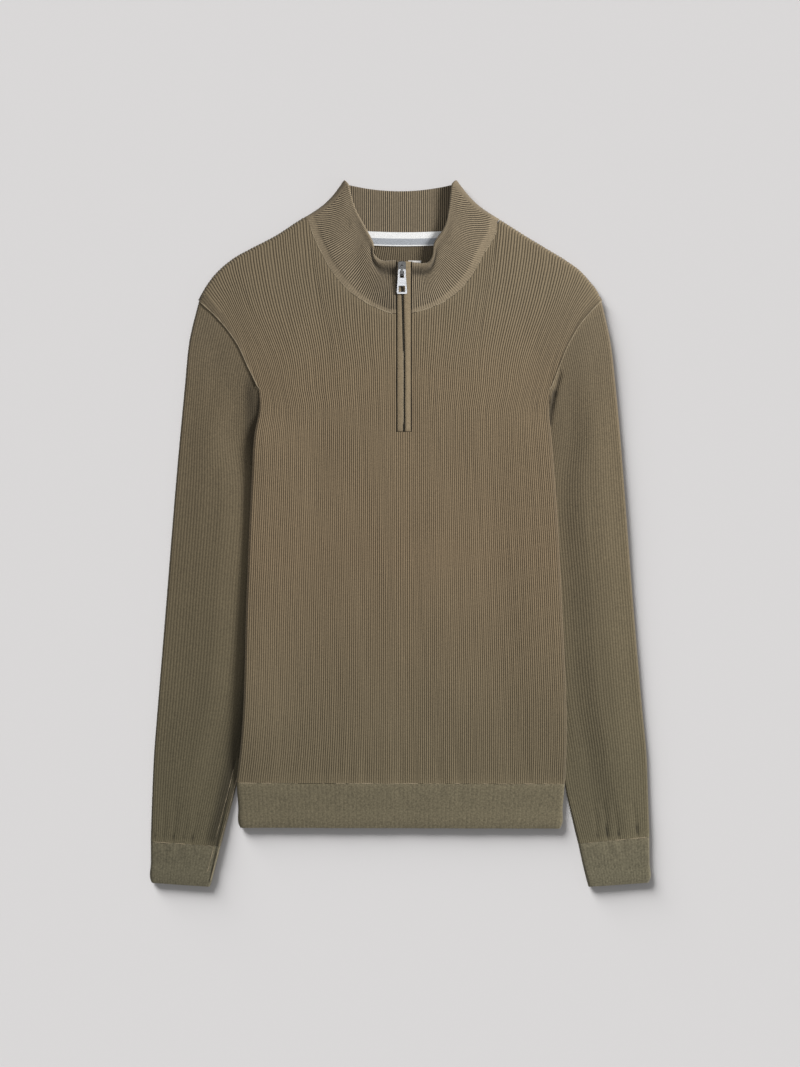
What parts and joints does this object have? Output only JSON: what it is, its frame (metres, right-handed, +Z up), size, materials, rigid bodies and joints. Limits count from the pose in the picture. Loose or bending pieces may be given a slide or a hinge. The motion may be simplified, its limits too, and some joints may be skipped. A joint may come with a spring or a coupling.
{
  "type": "quarter zip sweater",
  "caption": "Fine rib quarter zip sweater with a stand collar, laid flat on its back with its sides turned under and its sleeves along the body; the pull tab turns on its slider.",
  "frame": {"origin": "middle of the laid sweater's outline, at the level of the surface that it lies on", "axes": "+X across the sweater towards the side that is right in the front view (its wearer's left), +Y from the hem towards the neck, +Z up from the surface, out of the front"},
  "size_m": [0.555, 0.7847, 0.019],
  "materials": {
    "front": "matte fine rib knit",
    "back": "matte fine rib knit",
    "sleeve_left": "matte fine rib knit",
    "sleeve_right": "matte fine rib knit",
    "cuff_left": "matte plain knit",
    "cuff_right": "matte plain knit",
    "hem_band": "matte plain knit",
    "collar": "matte rib knit, doubled",
    "placket_left": "matte knit band",
    "placket_right": "matte knit band",
    "zip_tape": "woven tape",
    "zip_slider": "bright nickel",
    "zip_pull": "bright nickel",
    "neck_tape": "woven tape, white and grey",
    "neck_label": "smooth woven tape"
  },
  "bodies": {
    "sweater": {"front": "front", "back": "back", "sleeve_left": "sleeve_left", "sleeve_right": "sleeve_right", "cuff_left": "cuff_left", "cuff_right": "cuff_right", "hem_band": "hem_band", "collar": "collar", "placket_left": "placket_left", "placket_right": "placket_right", "zip_tape": "zip_tape", "zip_slider": "zip_slider", "neck_tape": "neck_tape", "neck_label": "neck_label"},
    "zip_pull": {"zip_pull": "zip_pull"}
  },
  "joints": [
    {"name": "pull_hinge", "type": "hinge", "parent": "sweater", "child": "zip_pull", "pos_m": [0.0019, 0.2918, 0.01605], "axis": [-1, 0, 0], "range_deg": [0, 160]}
  ]
}
